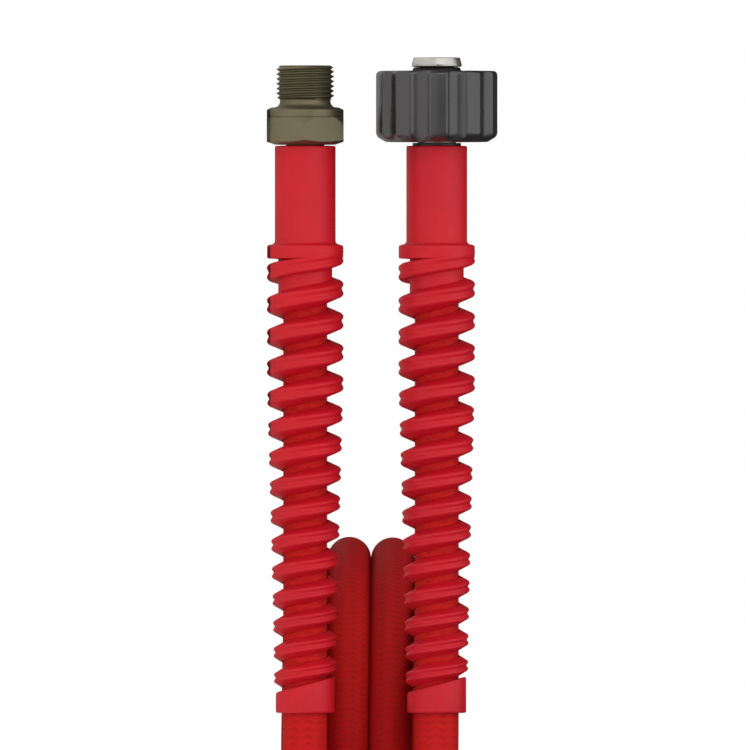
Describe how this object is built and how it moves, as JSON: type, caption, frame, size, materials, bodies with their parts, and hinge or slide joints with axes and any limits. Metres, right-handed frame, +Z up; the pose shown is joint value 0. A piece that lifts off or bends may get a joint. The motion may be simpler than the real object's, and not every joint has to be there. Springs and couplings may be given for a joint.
{
  "type": "pressure washer hose",
  "caption": "Flexible high-pressure hose wound in a tied coil, with ribbed kink guards, a threaded male fitting and a hand-tightened swivel nut.",
  "frame": {"origin": "on the ground under the middle of the object's box", "axes": "+X from the two fittings towards the coil, along the hose ends; +Z up, along the coil's axis; the ends lie at the coil's -Y side"},
  "size_m": [0.4445, 0.3062, 0.0721],
  "materials": {
    "hose": "matte textile-marked rubber cover, dark red",
    "guard": "moulded red plastic with a soft sheen",
    "plated": "olive passivated steel",
    "ferrule": "dark crimped steel",
    "steel": "bright turned steel",
    "insert": "machined brass",
    "grip": "black moulded plastic, satin",
    "seal": "black rubber",
    "tie": "black woven hook-and-loop webbing"
  },
  "bodies": {
    "hose": {"hose_coil": "hose", "hose_lead_male": "hose", "hose_lead_nut": "hose", "hose_bight": "hose", "kink_guard_male": "guard", "kink_guard_nut": "guard", "ferrule_male": "ferrule", "ferrule_nut": "ferrule", "male_fitting": "plated", "spigot": "steel", "spigot_o_ring": "seal", "coil_tie_1": "tie", "coil_tie_2": "tie", "coil_tie_3": "tie"},
    "nut": {"grip_nut": "grip", "nut_insert": "insert"}
  },
  "joints": [
    {"name": "nut_spin", "type": "hinge", "parent": "hose", "child": "nut", "pos_m": [-0.20633, -0.1338, 0.0531], "axis": [-1, 0, 0], "continuous": true}
  ]
}
